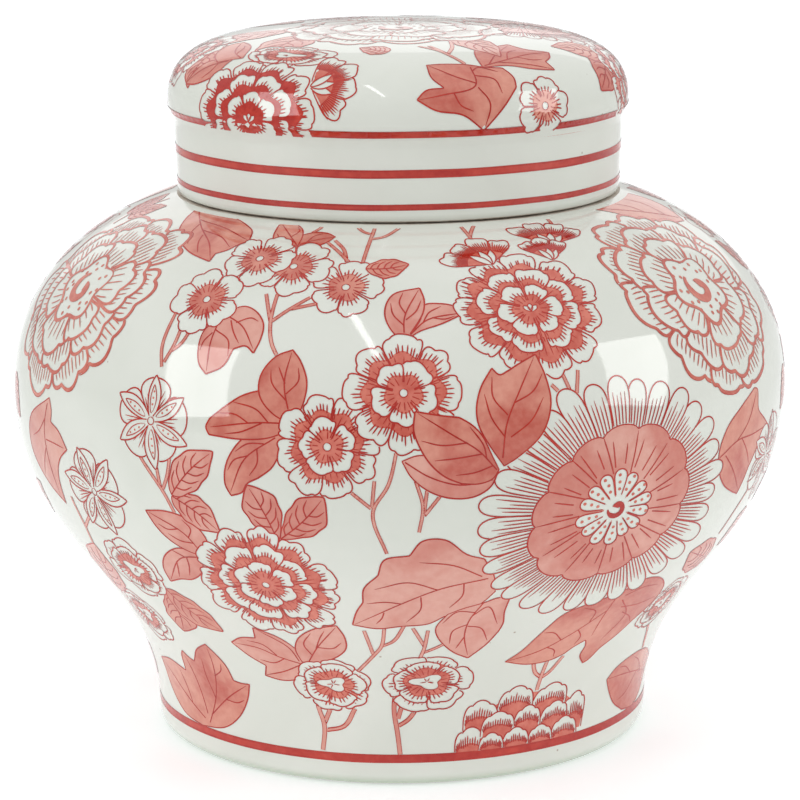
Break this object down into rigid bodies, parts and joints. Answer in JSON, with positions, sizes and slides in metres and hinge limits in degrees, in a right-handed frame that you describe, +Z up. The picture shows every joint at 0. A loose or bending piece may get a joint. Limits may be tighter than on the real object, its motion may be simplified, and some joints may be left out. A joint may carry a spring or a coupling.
{
  "type": "ginger jar",
  "caption": "Squat round porcelain jar on a narrow foot, with a short neck hidden under a loose capped lid, painted all over with coral blossoms and leaves.",
  "frame": {"origin": "centre of the foot ring, on the surface the jar stands on", "axes": "+Z up along the jar's axis; -Y is the side of the painting shown"},
  "size_m": [0.2512, 0.2512, 0.2293],
  "materials": {
    "glazed_porcelain": "clear glossy glaze over pale grey-green porcelain, faintly uneven, pooled green at the foot",
    "bare_porcelain": "unglazed matt biscuit on the foot ring, the lid's seat and the rims",
    "coral_line": "iron-red line work under the glaze, broken and slightly uneven",
    "coral_wash": "mottled coral wash under the glaze, darker where it pools"
  },
  "bodies": {
    "jar": {"jar_body": "glazed_porcelain"},
    "lid": {"lid": "glazed_porcelain"}
  },
  "joints": [
    {"name": "lid_lift", "type": "slide", "parent": "jar", "child": "lid", "axis": [0, 0, 1], "range_m": [0, 0.1]}
  ]
}
